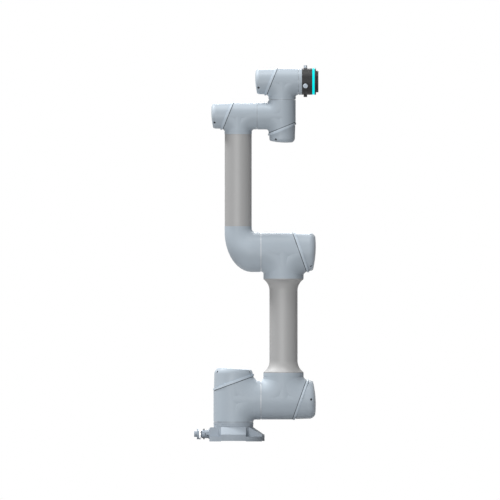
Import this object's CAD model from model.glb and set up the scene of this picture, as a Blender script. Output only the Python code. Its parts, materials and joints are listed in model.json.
import json
import math
import bmesh
import bpy
from mathutils import Matrix, Vector

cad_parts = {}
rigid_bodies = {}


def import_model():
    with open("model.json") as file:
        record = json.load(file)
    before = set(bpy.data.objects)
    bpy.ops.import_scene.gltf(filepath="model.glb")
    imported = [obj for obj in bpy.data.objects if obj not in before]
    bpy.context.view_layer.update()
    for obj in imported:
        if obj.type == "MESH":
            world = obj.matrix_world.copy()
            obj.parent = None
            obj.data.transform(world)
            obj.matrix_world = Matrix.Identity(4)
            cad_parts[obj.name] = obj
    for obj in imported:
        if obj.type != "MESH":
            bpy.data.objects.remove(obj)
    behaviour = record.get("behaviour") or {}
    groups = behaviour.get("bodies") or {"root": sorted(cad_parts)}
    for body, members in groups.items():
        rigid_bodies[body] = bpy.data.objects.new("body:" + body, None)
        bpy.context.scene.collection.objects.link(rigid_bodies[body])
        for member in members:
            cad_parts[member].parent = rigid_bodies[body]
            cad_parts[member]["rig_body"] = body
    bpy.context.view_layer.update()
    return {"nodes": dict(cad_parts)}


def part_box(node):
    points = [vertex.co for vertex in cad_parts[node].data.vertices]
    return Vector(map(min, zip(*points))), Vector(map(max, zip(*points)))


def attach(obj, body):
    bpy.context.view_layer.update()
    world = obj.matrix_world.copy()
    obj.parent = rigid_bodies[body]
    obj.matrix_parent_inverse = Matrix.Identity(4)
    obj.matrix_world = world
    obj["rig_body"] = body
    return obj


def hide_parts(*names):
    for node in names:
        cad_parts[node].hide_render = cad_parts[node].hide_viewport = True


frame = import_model()
nodes = frame["nodes"]
scene = bpy.context.scene
print("frame loaded:", len(nodes), "pieces")


def srgb(red, green, blue):
    # 0-255 as seen on screen, to the linear values the shaders want
    return tuple(
        c / 3294.6 if c <= 10.3 else ((c / 255 + 0.055) / 1.055) ** 2.4 for c in (red, green, blue)
    ) + (1.0,)


# Camera: level, square on to the arm, no perspective
# metres; acrossX and height are the point in the middle of the picture
cameraView = {"acrossX": 0.0475, "height": 0.5515, "distance": 3.0, "frameWidth": 1.44}

cameraData = bpy.data.cameras.new("studioCamera")
cameraData.type = "ORTHO"
cameraData.ortho_scale = cameraView["frameWidth"]
camera = bpy.data.objects.new("studioCamera", cameraData)
camera.location = (cameraView["acrossX"], -cameraView["distance"], cameraView["height"])
camera.rotation_euler = (math.radians(90), 0, 0)
scene.collection.objects.link(camera)
scene.camera = camera
print("camera set")


# Shared surface effects, one node group each
# scales are texture cells to a metre
coatPattern = {
    "cloudScale": 14.0, "cloudDetail": 4.0, "cloudRoughness": 0.6,
    "peelDetail": 3.0, "peelRoughness": 0.55,
    "speckPerPeel": 1.6, "speckSmoothness": 0.6, "speckShare": 0.35,
    "glossSpread": 0.14,
}
linePattern = {
    "lineDetail": 3.0, "lineRoughness": 0.65, "lineShare": 0.7,
    "cloudScale": 9.0, "cloudDetail": 3.0, "cloudShare": 0.3,
    "glossSpread": 0.18,
}
# what either effect hands to its material's shader
effectResults = [
    ("Color", "NodeSocketColor"), ("Roughness", "NodeSocketFloat"), ("Height", "NodeSocketFloat"),
]


def newGroup(name, inputs):
    group = bpy.data.node_groups.new(name, "ShaderNodeTree")
    for direction, sockets in (("INPUT", inputs), ("OUTPUT", effectResults)):
        for label, kind in sockets:
            group.interface.new_socket(name=label, in_out=direction, socket_type=kind)
    return group, group.nodes.new("NodeGroupInput"), group.nodes.new("NodeGroupOutput")


def addNode(tree, kind, **settings):
    node = tree.nodes.new(kind)
    for name, value in settings.items():
        if name in node.inputs:
            node.inputs[name].default_value = value
        else:
            setattr(node, name, value)
    return node


def feed(tree, socket, value):
    # value is a number or another node's output
    if isinstance(value, bpy.types.NodeSocket):
        tree.links.new(value, socket)
    else:
        socket.default_value = value


def mathNode(tree, operation, first, second):
    node = addNode(tree, "ShaderNodeMath", operation=operation)
    feed(tree, node.inputs[0], first)
    feed(tree, node.inputs[1], second)
    return node.outputs[0]


def aroundMiddle(tree, value, amount, middle):
    # a 0-1 pattern turned into middle plus or minus half of amount
    spread = mathNode(tree, "MULTIPLY", mathNode(tree, "SUBTRACT", value, 0.5), amount)
    return mathNode(tree, "ADD", spread, middle)


def shadeColor(tree, color, factor):
    scaled = addNode(tree, "ShaderNodeVectorMath", operation="SCALE")
    feed(tree, scaled.inputs[0], color)
    feed(tree, scaled.inputs["Scale"], factor)
    return scaled.outputs[0]


def buildCoatGrain(look):
    # powder coat and moulded plastic: soft mottling and a fine orange peel
    group, given, result = newGroup("coatGrain", [
        ("Color", "NodeSocketColor"), ("Roughness", "NodeSocketFloat"),
        ("Mottling", "NodeSocketFloat"), ("Peel Scale", "NodeSocketFloat"),
    ])
    place = addNode(group, "ShaderNodeTexCoord")
    cloud = addNode(
        group, "ShaderNodeTexNoise",
        Scale=look["cloudScale"], Detail=look["cloudDetail"], Roughness=look["cloudRoughness"],
    )
    peel = addNode(group, "ShaderNodeTexNoise", Detail=look["peelDetail"], Roughness=look["peelRoughness"])
    speck = addNode(group, "ShaderNodeTexVoronoi", feature="SMOOTH_F1", Smoothness=look["speckSmoothness"])
    for texture in (cloud, peel, speck):
        group.links.new(place.outputs["Object"], texture.inputs["Vector"])
    peelScale = given.outputs["Peel Scale"]
    group.links.new(peelScale, peel.inputs["Scale"])
    group.links.new(mathNode(group, "MULTIPLY", peelScale, look["speckPerPeel"]), speck.inputs["Scale"])
    shade = aroundMiddle(group, cloud.outputs["Fac"], given.outputs["Mottling"], 1.0)
    group.links.new(shadeColor(group, given.outputs["Color"], shade), result.inputs["Color"])
    gloss = aroundMiddle(group, cloud.outputs["Fac"], look["glossSpread"], given.outputs["Roughness"])
    group.links.new(gloss, result.inputs["Roughness"])
    specks = mathNode(group, "MULTIPLY", speck.outputs["Distance"], look["speckShare"])
    group.links.new(mathNode(group, "ADD", peel.outputs["Fac"], specks), result.inputs["Height"])
    return group


def buildToolLines(look):
    # turned or ground metal: lines along one direction, broken up by a slow wave
    group, given, result = newGroup("toolLines", [
        ("Color", "NodeSocketColor"), ("Roughness", "NodeSocketFloat"),
        ("Contrast", "NodeSocketFloat"), ("Stretch", "NodeSocketVector"),
    ])
    place = addNode(group, "ShaderNodeTexCoord")
    drawn = addNode(group, "ShaderNodeVectorMath", operation="MULTIPLY")
    group.links.new(place.outputs["Object"], drawn.inputs[0])
    group.links.new(given.outputs["Stretch"], drawn.inputs[1])
    lines = addNode(
        group, "ShaderNodeTexNoise", Scale=1.0, Detail=look["lineDetail"], Roughness=look["lineRoughness"],
    )
    group.links.new(drawn.outputs[0], lines.inputs["Vector"])
    cloud = addNode(group, "ShaderNodeTexNoise", Scale=look["cloudScale"], Detail=look["cloudDetail"])
    group.links.new(place.outputs["Object"], cloud.inputs["Vector"])
    mixed = mathNode(
        group, "ADD",
        mathNode(group, "MULTIPLY", lines.outputs["Fac"], look["lineShare"]),
        mathNode(group, "MULTIPLY", cloud.outputs["Fac"], look["cloudShare"]),
    )
    shade = aroundMiddle(group, mixed, given.outputs["Contrast"], 1.0)
    group.links.new(shadeColor(group, given.outputs["Color"], shade), result.inputs["Color"])
    gloss = aroundMiddle(group, mixed, look["glossSpread"], given.outputs["Roughness"])
    group.links.new(gloss, result.inputs["Roughness"])
    group.links.new(lines.outputs["Fac"], result.inputs["Height"])
    return group


coatGrain = buildCoatGrain(coatPattern)
toolLines = buildToolLines(linePattern)


def newMaterial(name, group, effectSettings, bumpSettings, shaderSettings):
    material = bpy.data.materials.new(name)
    material.use_nodes = True
    tree = material.node_tree
    shader = tree.nodes["Principled BSDF"]
    effect = tree.nodes.new("ShaderNodeGroup")
    effect.node_tree = group
    for label, value in effectSettings.items():
        effect.inputs[label].default_value = value
    tree.links.new(effect.outputs["Color"], shader.inputs["Base Color"])
    tree.links.new(effect.outputs["Roughness"], shader.inputs["Roughness"])
    bump = addNode(tree, "ShaderNodeBump", **bumpSettings)
    tree.links.new(effect.outputs["Height"], bump.inputs["Height"])
    tree.links.new(bump.outputs["Normal"], shader.inputs["Normal"])
    for label, value in shaderSettings.items():
        shader.inputs[label].default_value = value
    return material


# Finishes
coatBump = {"Strength": 0.12, "Distance": 0.0002}
coatSpecular = 0.12
coats = {
    "housingPaint": {"color": srgb(167, 177, 186), "roughness": 0.46, "mottling": 0.05, "peel": 620.0},
    "coverPaint": {"color": srgb(169, 179, 188), "roughness": 0.42, "mottling": 0.04, "peel": 900.0},
    "bandPaint": {"color": srgb(186, 197, 207), "roughness": 0.50, "mottling": 0.04, "peel": 1100.0},
    "castBasePaint": {"color": srgb(158, 167, 176), "roughness": 0.52, "mottling": 0.07, "peel": 520.0},
    "blackRubber": {"color": srgb(36, 37, 39), "roughness": 0.62, "mottling": 0.08, "peel": 1400.0},
    "solderResist": {"color": srgb(22, 92, 58), "roughness": 0.40, "mottling": 0.20, "peel": 1500.0},
}
metalBump = {"Strength": 0.10, "Distance": 0.0001}
metalSpecular = 0.5
# a pattern changes fastest along the axis with the largest number, so the marks run across that axis
aroundZ = (4.0, 4.0, 1500.0)
aroundX = (1500.0, 4.0, 4.0)
acrossY = (30.0, 1600.0, 30.0)
windingGrain = (700.0, 700.0, 700.0)
screwGrain = (900.0, 900.0, 900.0)
metals = {
    "satinTube": {
        "color": srgb(162, 162, 162), "roughness": 0.58, "contrast": 0.10, "stretch": aroundZ,
        "metallic": 0.15, "specular": 0.2,
    },
    "gearSteel": {
        "color": srgb(150, 152, 155), "roughness": 0.36, "contrast": 0.16, "stretch": aroundZ,
        "metallic": 1.0,
    },
    "flangeSteel": {
        "color": srgb(146, 153, 160), "roughness": 0.52, "contrast": 0.10, "stretch": aroundZ,
        "metallic": 0.45,
    },
    "seamSteel": {
        "color": srgb(212, 214, 217), "roughness": 0.50, "contrast": 0.08, "stretch": aroundX,
        "metallic": 0.3, "specular": 0.2,
    },
    "rotorSteel": {
        "color": srgb(120, 121, 125), "roughness": 0.40, "contrast": 0.2, "stretch": aroundZ,
        "metallic": 1.0,
    },
    "windingCopper": {
        "color": srgb(184, 108, 62), "roughness": 0.36, "contrast": 0.5, "stretch": windingGrain,
        "metallic": 0.9,
    },
    "nickelGrey": {
        "color": srgb(134, 143, 152), "roughness": 0.50, "contrast": 0.14, "stretch": aroundX,
        "metallic": 0.25, "specular": 0.25,
    },
    "nickelSilver": {
        "color": srgb(158, 166, 175), "roughness": 0.40, "contrast": 0.12, "stretch": aroundZ,
        "metallic": 0.3,
    },
    "polishedRing": {
        "color": srgb(236, 238, 240), "roughness": 0.14, "contrast": 0.06, "stretch": aroundX,
        "metallic": 1.0,
    },
    "blackAnodised": {
        "color": srgb(46, 46, 47), "roughness": 0.55, "contrast": 0.12, "stretch": aroundX,
        "metallic": 0.0, "specular": 0.2,
    },
    "blackScrew": {
        "color": srgb(34, 34, 36), "roughness": 0.42, "contrast": 0.25, "stretch": screwGrain,
        "metallic": 0.7,
    },
    "satinButton": {
        "color": srgb(174, 184, 194), "roughness": 0.32, "contrast": 0.10, "stretch": acrossY,
        "metallic": 0.5,
    },
}
# glow is the strength of its light, bodyShare how much of the colour its unlit body has
lightGuideLook = {
    "color": srgb(0, 246, 250), "roughness": 0.5, "mottling": 0.06, "peel": 400.0,
    "specular": 0.05, "glow": 0.82, "bodyShare": 0.2,
}
lightGuideBump = {"Strength": 0.05, "Distance": 0.0001}


def coatSettings(look):
    return {
        "Color": look["color"], "Roughness": look["roughness"],
        "Mottling": look["mottling"], "Peel Scale": look["peel"],
    }


def lineSettings(look):
    return {
        "Color": look["color"], "Roughness": look["roughness"],
        "Contrast": look["contrast"], "Stretch": look["stretch"],
    }


def buildLightGuide(look):
    # it glows evenly, a little weaker where its moulding is thicker
    material = newMaterial(
        "lightGuide", coatGrain, coatSettings(look), lightGuideBump,
        {"Specular IOR Level": look["specular"], "Emission Strength": look["glow"]},
    )
    tree = material.node_tree
    shader = tree.nodes["Principled BSDF"]
    color = next(n for n in tree.nodes if n.type == "GROUP").outputs["Color"]
    tree.links.new(color, shader.inputs["Emission Color"])
    tree.links.new(shadeColor(tree, color, look["bodyShare"]), shader.inputs["Base Color"])
    return material


finish = {}
for name, look in coats.items():
    finish[name] = newMaterial(
        name, coatGrain, coatSettings(look), coatBump, {"Specular IOR Level": coatSpecular},
    )
for name, look in metals.items():
    finish[name] = newMaterial(
        name, toolLines, lineSettings(look), metalBump,
        {"Metallic": look["metallic"], "Specular IOR Level": look.get("specular", metalSpecular)},
    )
finish["lightGuide"] = buildLightGuide(lightGuideLook)

# by the ending of the node's name; the longest ending that fits counts
finishByPiece = {
    "housing": "housingPaint", "cover": "coverPaint", "band": "bandPaint",
    "circular_spline": "gearSteel", "flexspline": "flangeSteel", "rotor": "rotorSteel",
    "stator": "windingCopper", "drive_board": "solderResist", "drive_boards": "solderResist",
    "base_casting": "castBasePaint", "base_connector": "nickelGrey", "connector_cap": "nickelGrey",
    "coupling_ring": "polishedRing", "upper_arm_tube": "satinTube", "forearm_tube": "satinTube",
    "forearm_elbow": "housingPaint", "tool_collar": "coverPaint", "tool_io_ring": "blackAnodised",
    "tool_connector": "nickelSilver", "light_ring": "lightGuide", "tool_flange": "blackAnodised",
    "teach_button": "satinButton",
    # the bare rims of these two flanges shine in the wide seams of the upper arm
    "shoulder_joint_flexspline": "seamSteel", "elbow_joint_flexspline": "seamSteel",
}
for nodeName, node in nodes.items():
    ending = max((e for e in finishByPiece if nodeName.endswith(e)), key=len)
    node.data.materials.clear()
    node.data.materials.append(finish[finishByPiece[ending]])
print("finishes on", len(nodes), "pieces")


# What the pieces below share
# points closer than this are one point
weldDistance = 0.00001
# a bevel with this profile is a round one
roundProfile = 0.5


def shadeSmooth(work, sharpAngle):
    # edges that turn by more than sharpAngle degrees stay crisp
    for face in work.faces:
        face.smooth = True
    for edge in work.edges:
        edge.smooth = not (edge.is_manifold and edge.calc_face_angle() > math.radians(sharpAngle))


def finishMesh(work, name, material, body, sharpAngle=35):
    bmesh.ops.recalc_face_normals(work, faces=work.faces)
    shadeSmooth(work, sharpAngle)
    mesh = bpy.data.meshes.new(name)
    work.to_mesh(mesh)
    work.free()
    mesh.materials.append(material)
    piece = bpy.data.objects.new(name, mesh)
    scene.collection.objects.link(piece)
    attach(piece, body)
    return piece


def standingAt(place, direction):
    return Matrix.Translation(place) @ direction.to_track_quat("Z", "Y").to_matrix().to_4x4()


def vertsOf(geometry):
    return [g for g in geometry if isinstance(g, bmesh.types.BMVert)]


def edgesOf(geometry):
    return [g for g in geometry if isinstance(g, bmesh.types.BMEdge)]


def edgesAt(verts):
    # in the order they are met, so that bridge_loops joins them the same way in each run
    return list(dict.fromkeys(edge for vert in verts for edge in vert.link_edges))


def pieceName(jointName, ending):
    first, *others = jointName.split("_")
    return first + "".join(word.capitalize() for word in others) + ending


# The elbow, with its facets smoothed over
def smoothCopy(nodeName, newName, material, sharpAngle):
    mesh = nodes[nodeName].data.copy()
    mesh.name = newName
    work = bmesh.new()
    work.from_mesh(mesh)
    bmesh.ops.remove_doubles(work, verts=work.verts, dist=weldDistance)
    shadeSmooth(work, sharpAngle)
    work.to_mesh(mesh)
    work.free()
    piece = bpy.data.objects.new(newName, mesh)
    scene.collection.objects.link(piece)
    mesh.materials.clear()
    mesh.materials.append(material)
    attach(piece, nodes[nodeName]["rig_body"])
    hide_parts(nodeName)


smoothCopy("forearm_elbow", "forearmElbowCasting", finish["housingPaint"], sharpAngle=32)
print("elbow made")


# The six joints, in metres and degrees
# seam is the middle of the seam that the joint turns in. axis points from there to the cover, neck to the
# arm that branches off. length runs from the seam to the cover's end. cut is where the parting plane meets
# the axis, tilt its slant. firstScrew is counted from the neck.
largeJoint = {"radius": 0.0575, "length": 0.158, "cut": 0.115, "tilt": 19.7}
smallJoint = {"radius": 0.039, "length": 0.1245, "tilt": 22}
joints = {
    "base_joint": {
        **largeJoint, "seam": (0, 0, 0.056), "axis": (0, 0, 1), "neck": (1, 0, 0), "firstScrew": 210,
    },
    "shoulder_joint": {
        **largeJoint, "seam": (0.079, 0, 0.121), "axis": (1, 0, 0), "neck": (0, 0, 1), "firstScrew": 90,
    },
    "elbow_joint": {
        **largeJoint, "seam": (0.079, 0, 0.546), "axis": (1, 0, 0), "neck": (0, 0, -1), "firstScrew": 200,
    },
    "wrist_1": {
        **smallJoint, "seam": (0.068, 0, 0.938), "axis": (-1, 0, 0), "neck": (0, 0, -1), "firstScrew": 57,
        "length": 0.132, "cut": 0.087,
    },
    "wrist_2": {
        **smallJoint, "seam": (0.14, 0, 0.985), "axis": (0, 0, -1), "neck": (-1, 0, 0), "firstScrew": 300,
        "cut": 0.085,
    },
    "wrist_3": {
        **smallJoint, "seam": (0.187, 0, 1.037), "axis": (-1, 0, 0), "neck": (0, 0, -1), "firstScrew": 60,
        "cut": 0.0795,
    },
}


# Cover screws
coverScrew = {
    "headRadius": 0.0032, "headHeight": 0.0034, "socketRadius": 0.0016, "socketDepth": 0.0016,
    "edgeRound": 0.0003,
}
screwMesh = {"headSides": 24, "socketSides": 6, "roundSteps": 2}
# the cover's rounded corner, and the screw recess in it, recessRise degrees up from the side
coverShape = {
    "draft": 0.0022, "cornerShare": 0.34, "recessDepth": 0.0045, "recessRise": 21, "headClearance": 0.00005,
    "screwTurns": (0, 120, 240),
}


def addScrew(work, place, screw):
    # a round head with a hexagon socket, standing along place's Z with its top face at place
    start = len(work.verts)
    rim = bmesh.ops.create_circle(work, segments=screwMesh["headSides"], radius=screw["headRadius"])["verts"]
    socket = bmesh.ops.create_circle(
        work, segments=screwMesh["socketSides"], radius=screw["socketRadius"],
    )["verts"]
    rimEdges, socketEdges = edgesAt(rim), edgesAt(socket)
    bmesh.ops.bridge_loops(work, edges=rimEdges + socketEdges)
    for edges, depth in ((socketEdges, screw["socketDepth"]), (rimEdges, screw["headHeight"])):
        wall = bmesh.ops.extrude_edge_only(work, edges=edges)["geom"]
        bmesh.ops.translate(work, verts=vertsOf(wall), vec=(0, 0, -depth))
        bmesh.ops.contextual_create(work, geom=edgesOf(wall))
    bmesh.ops.bevel(
        work, geom=rimEdges, offset=screw["edgeRound"], segments=screwMesh["roundSteps"],
        profile=roundProfile, affect="EDGES", material=-1,
    )
    work.verts.ensure_lookup_table()
    bmesh.ops.transform(work, matrix=place, verts=work.verts[start:])


for jointName, joint in joints.items():
    axis, neck = Vector(joint["axis"]), Vector(joint["neck"])
    sideways = axis.cross(neck)
    corner = coverShape["cornerShare"] * joint["radius"]
    rise = math.radians(coverShape["recessRise"])
    outwards = joint["radius"] - coverShape["draft"] - corner + corner * math.cos(rise)
    along = joint["length"] - corner + corner * math.sin(rise)
    work = bmesh.new()
    for turn in coverShape["screwTurns"]:
        angle = math.radians(joint["firstScrew"] + turn)
        radial = neck * math.cos(angle) + sideways * math.sin(angle)
        direction = (radial + axis).normalized()
        recess = Vector(joint["seam"]) + radial * outwards + axis * along
        bottom = recess - direction * coverShape["recessDepth"]
        top = bottom + direction * (coverScrew["headHeight"] + coverShape["headClearance"])
        addScrew(work, standingAt(top, direction), coverScrew)
    body = nodes[jointName + "_cover"]["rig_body"]
    finishMesh(work, pieceName(jointName, "CoverScrews"), finish["blackScrew"], body)
print("cover screws made")


# Rubber seals in the grooves on the housings' side of the clamp bands
bandSeal = {
    "width": 0.0017, "thickness": 0.0012, "belowSurface": 0.0008, "fromBandEdge": 0.00005,
    "bandWidth": 0.010, "sides": 128,
}

for jointName, joint in joints.items():
    axis, neck = Vector(joint["axis"]), Vector(joint["neck"])
    work = bmesh.new()
    bmesh.ops.create_circle(
        work, segments=bandSeal["sides"], radius=joint["radius"] - bandSeal["belowSurface"],
    )
    wall = bmesh.ops.extrude_edge_only(work, edges=work.edges[:])["geom"]
    bmesh.ops.translate(work, verts=vertsOf(wall), vec=(0, 0, bandSeal["width"]))
    bmesh.ops.recalc_face_normals(work, faces=work.faces)
    bmesh.ops.solidify(work, geom=work.faces[:], thickness=bandSeal["thickness"])
    # laid along the slanted parting plane, then moved to the joint
    start = joint["cut"] - bandSeal["bandWidth"] / 2 + bandSeal["fromBandEdge"]
    for vert in work.verts:
        vert.co.z += start + vert.co.x * math.tan(math.radians(joint["tilt"]))
    turn = Matrix((neck, axis.cross(neck), axis)).transposed().to_4x4()
    bmesh.ops.transform(work, matrix=Matrix.Translation(joint["seam"]) @ turn, verts=work.verts)
    body = nodes[jointName + "_band"]["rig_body"]
    finishMesh(
        work, pieceName(jointName, "BandSeal"), finish["blackRubber"], body, sharpAngle=50,
    )
print("band seals made")


# Base connector: screws round its body and a rubber seal on its spigot
connectorBody = {
    "panelX": -0.0695, "height": 0.0216, "radius": 0.012, "spigotRadius": 0.008, "length": 0.023,
    "screwSink": 0.0002,
}
lockScrew = {
    "headRadius": 0.002, "headHeight": 0.0034, "socketRadius": 0.001, "socketDepth": 0.001,
    "edgeRound": 0.0003,
}
setScrew = {
    "headRadius": 0.0019, "headHeight": 0.0008, "socketRadius": 0.001, "socketDepth": 0.0007,
    "edgeRound": 0.0002,
}
# distance from the panel, angle from straight up, which screw
connectorScrews = [
    (0.0157, 0, lockScrew), (0.0157, 180, lockScrew), (0.0114, 90, setScrew), (0.0114, 270, setScrew),
    (0.0046, 110, setScrew), (0.0046, 250, setScrew),
]
seal = {"pastBody": 0.001, "lift": 0.0006, "sectionRadius": 0.0009, "sectionSides": 12, "steps": 48}

work = bmesh.new()
for fromPanel, turn, screw in connectorScrews:
    angle = math.radians(turn)
    direction = Vector((0, -math.sin(angle), math.cos(angle)))
    middle = Vector((connectorBody["panelX"] - fromPanel, 0, connectorBody["height"]))
    foot = middle + direction * connectorBody["radius"]
    standing = screw["headHeight"] - connectorBody["screwSink"]
    addScrew(work, standingAt(foot + direction * standing, direction), screw)
finishMesh(work, "connectorScrews", finish["blackScrew"], nodes["base_connector"]["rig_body"])

work = bmesh.new()
sealX = connectorBody["panelX"] - connectorBody["length"] - seal["pastBody"]
middle = Vector((sealX, 0, connectorBody["height"]))
section = middle + Vector((0, 0, connectorBody["spigotRadius"] + seal["lift"]))
bmesh.ops.create_circle(
    work, segments=seal["sectionSides"], radius=seal["sectionRadius"],
    matrix=Matrix.Translation(section) @ Matrix.Rotation(math.radians(90), 4, "X"),
)
bmesh.ops.spin(
    work, geom=list(work.verts) + list(work.edges), cent=middle, axis=(1, 0, 0),
    angle=math.radians(360), steps=seal["steps"], use_merge=True,
)
bmesh.ops.remove_doubles(work, verts=work.verts, dist=weldDistance)
finishMesh(
    work, "connectorSeal", finish["blackRubber"], nodes["base_connector"]["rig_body"],
    sharpAngle=80,
)
print("base connector dressed")


# Teach button, with a rounded rim and a shallow dish for the finger
# each step of the dish takes its share of the depth, one inset further in; tilt is down from level
buttonShape = {
    "rimRound": 0.0008, "roundSteps": 3, "dishInset": 0.0016, "dishDepth": 0.0005,
    "dishSteps": (0.5, 0.35, 0.15), "tilt": 19, "sides": 64,
}


def makeTeachButton():
    low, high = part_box("teach_button")
    tilt = math.radians(buttonShape["tilt"])
    outwards = Vector((0, -math.cos(tilt), -math.sin(tilt)))
    radius = (high[0] - low[0]) / 2
    # the node's own points give its two end faces along the pressing direction
    reach = [v.co.dot(outwards) for v in nodes["teach_button"].data.vertices]
    middle = (Vector(low) + Vector(high)) / 2
    top = middle + outwards * (max(reach) - middle.dot(outwards))
    height = max(reach) - min(reach)
    work = bmesh.new()
    bmesh.ops.create_circle(work, segments=buttonShape["sides"], radius=radius, cap_ends=True)
    cap = work.faces[:]
    bmesh.ops.inset_region(work, faces=cap, thickness=buttonShape["dishInset"])
    for share in buttonShape["dishSteps"]:
        bmesh.ops.translate(work, verts=cap[0].verts, vec=(0, 0, -buttonShape["dishDepth"] * share))
        bmesh.ops.inset_region(work, faces=cap, thickness=buttonShape["dishInset"])
    rimEdges = [e for e in work.edges if e.is_boundary]
    wall = bmesh.ops.extrude_edge_only(work, edges=rimEdges)["geom"]
    bmesh.ops.translate(work, verts=vertsOf(wall), vec=(0, 0, -height))
    bmesh.ops.contextual_create(work, geom=edgesOf(wall))
    bmesh.ops.bevel(
        work, geom=rimEdges, offset=buttonShape["rimRound"], segments=buttonShape["roundSteps"],
        profile=roundProfile, affect="EDGES", material=-1,
    )
    bmesh.ops.transform(work, matrix=standingAt(top, outwards), verts=work.verts)
    piece = finishMesh(
        work, "teachButtonCap", finish["satinButton"], nodes["teach_button"]["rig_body"],
        sharpAngle=40,
    )
    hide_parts("teach_button")


makeTeachButton()
print("teach button made")


# Studio
studio = {
    "ambient": 0.08, "lampAim": (0.08, 0, 0.55),
    "floorSize": 8.0, "floorCells": 8, "floorColor": srgb(236, 236, 237), "floorBounce": 0.3,
    "floorFadeStart": 0.5, "floorFadeEnd": 1.8,
}
# watts, metres
lamps = {
    "keyLamp": {"power": 270.0, "place": (-1.3, -6.3, 0.7), "size": 2.4},
    "sideLamp": {"power": 420.0, "place": (-3.8, 1.6, 5.5), "size": 2.0},
    "topLamp": {"power": 250.0, "place": (-0.4, -1.6, 6.9), "size": 2.0},
    "backLamp": {"power": 230.0, "place": (0.1, 5.4, 4.2), "size": 2.4},
}

for name, lamp in lamps.items():
    lampData = bpy.data.lights.new(name, "AREA")
    lampData.shape = "DISK"
    lampData.size = lamp["size"]
    lampData.energy = lamp["power"]
    lampObject = bpy.data.objects.new(name, lampData)
    lampObject.location = lamp["place"]
    aim = Vector(studio["lampAim"]) - Vector(lamp["place"])
    lampObject.rotation_euler = aim.to_track_quat("-Z", "Y").to_euler()
    scene.collection.objects.link(lampObject)


def seenRays(tree):
    # 1 for camera, glossy and transmission rays, so that metal shows the white background too
    path = tree.nodes.new("ShaderNodeLightPath")
    seen = mathNode(tree, "MAXIMUM", path.outputs["Is Camera Ray"], path.outputs["Is Glossy Ray"])
    return mathNode(tree, "MAXIMUM", seen, path.outputs["Is Transmission Ray"])


# white where it is seen or mirrored, a plain low level as light
world = bpy.data.worlds.new("studioWorld")
world.use_nodes = True
scene.world = world
tree = world.node_tree
tree.nodes.clear()
ambient = addNode(tree, "ShaderNodeBackground", Color=(1, 1, 1, 1), Strength=studio["ambient"])
white = addNode(tree, "ShaderNodeBackground", Color=(1, 1, 1, 1), Strength=1.0)
choose = addNode(tree, "ShaderNodeMixShader")
output = addNode(tree, "ShaderNodeOutputWorld")
tree.links.new(seenRays(tree), choose.inputs["Fac"])
tree.links.new(ambient.outputs[0], choose.inputs[1])
tree.links.new(white.outputs[0], choose.inputs[2])
tree.links.new(choose.outputs[0], output.inputs["Surface"])

# the floor fades into the white round it
work = bmesh.new()
bmesh.ops.create_grid(
    work, x_segments=studio["floorCells"], y_segments=studio["floorCells"], size=studio["floorSize"] / 2,
)
floorMesh = bpy.data.meshes.new("studioFloor")
work.to_mesh(floorMesh)
work.free()
floorMaterial = bpy.data.materials.new("floorPaper")
floorMaterial.use_nodes = True
tree = floorMaterial.node_tree
tree.nodes.clear()
# white to the eye and in reflections; only part of the light on it goes back up to the object
bounce = mathNode(tree, "MAXIMUM", seenRays(tree), studio["floorBounce"])
tone = addNode(tree, "ShaderNodeRGB")
tone.outputs[0].default_value = studio["floorColor"]
paper = addNode(tree, "ShaderNodeBsdfDiffuse")
clear = addNode(tree, "ShaderNodeBsdfTransparent")
place = addNode(tree, "ShaderNodeTexCoord")
reach = addNode(tree, "ShaderNodeVectorMath", operation="LENGTH")
fade = addNode(tree, "ShaderNodeMapRange")
fade.inputs["From Min"].default_value = studio["floorFadeStart"]
fade.inputs["From Max"].default_value = studio["floorFadeEnd"]
blend = addNode(tree, "ShaderNodeMixShader")
output = addNode(tree, "ShaderNodeOutputMaterial")
tree.links.new(shadeColor(tree, tone.outputs[0], bounce), paper.inputs["Color"])
tree.links.new(place.outputs["Object"], reach.inputs[0])
tree.links.new(reach.outputs["Value"], fade.inputs["Value"])
tree.links.new(fade.outputs["Result"], blend.inputs["Fac"])
tree.links.new(paper.outputs[0], blend.inputs[1])
tree.links.new(clear.outputs[0], blend.inputs[2])
tree.links.new(blend.outputs[0], output.inputs["Surface"])
floorMesh.materials.append(floorMaterial)
studioFloor = bpy.data.objects.new("studioFloor", floorMesh)
scene.collection.objects.link(studioFloor)
scene.view_settings.view_transform = "Standard"
print("studio lit")
